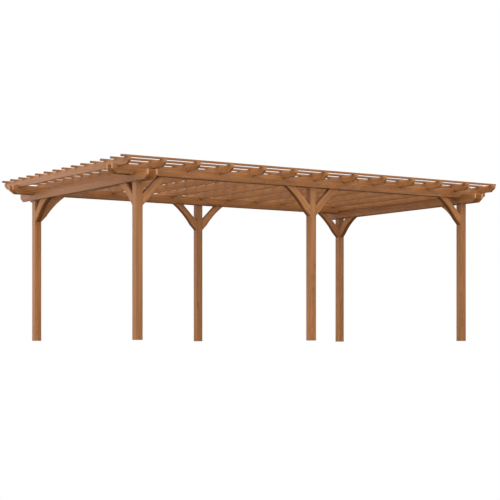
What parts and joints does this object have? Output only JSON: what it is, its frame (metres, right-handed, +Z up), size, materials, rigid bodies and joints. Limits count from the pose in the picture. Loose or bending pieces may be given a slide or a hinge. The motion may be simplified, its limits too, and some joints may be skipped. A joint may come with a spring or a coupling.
{
  "type": "wooden pergola",
  "caption": "Free-standing wooden pergola: square posts clasped by paired beam boards, arched knee braces, notched rafters and an open flat roof of slats.",
  "frame": {"origin": "on the ground, at the middle of the plan between the two rows of posts", "axes": "+X along the long side, +Y from the front row of posts to the back row, +Z up"},
  "size_m": [6.28, 3.776, 2.32],
  "materials": {
    "post_timber": "brown stain, satin",
    "beam_timber": "brown stain, satin",
    "brace_timber": "brown stain, satin",
    "rafter_timber": "brown stain, satin",
    "slat_timber": "brown stain, satin"
  },
  "bodies": {
    "root": {"post_front_left": "post_timber", "post_front_middle": "post_timber", "post_front_right": "post_timber", "long_beam_front": "beam_timber", "braces_front_left": "brace_timber", "braces_front_middle": "brace_timber", "braces_front_right": "brace_timber", "post_back_left": "post_timber", "post_back_middle": "post_timber", "post_back_right": "post_timber", "long_beam_back": "beam_timber", "braces_back_left": "brace_timber", "braces_back_middle": "brace_timber", "braces_back_right": "brace_timber", "cross_beam_left": "beam_timber", "cross_beam_right": "beam_timber", "rafter_01": "rafter_timber", "rafter_02": "rafter_timber", "rafter_03": "rafter_timber", "rafter_04": "rafter_timber", "rafter_05": "rafter_timber", "rafter_06": "rafter_timber", "rafter_07": "rafter_timber", "rafter_08": "rafter_timber", "rafter_09": "rafter_timber", "rafter_10": "rafter_timber", "rafter_11": "rafter_timber", "rafter_12": "rafter_timber", "rafter_13": "rafter_timber", "slat_01": "slat_timber", "slat_02": "slat_timber", "slat_03": "slat_timber", "slat_04": "slat_timber", "slat_05": "slat_timber", "slat_06": "slat_timber", "slat_07": "slat_timber", "slat_08": "slat_timber", "slat_09": "slat_timber", "slat_10": "slat_timber", "slat_11": "slat_timber", "slat_12": "slat_timber", "slat_13": "slat_timber", "slat_14": "slat_timber"}
  },
  "joints": []
}
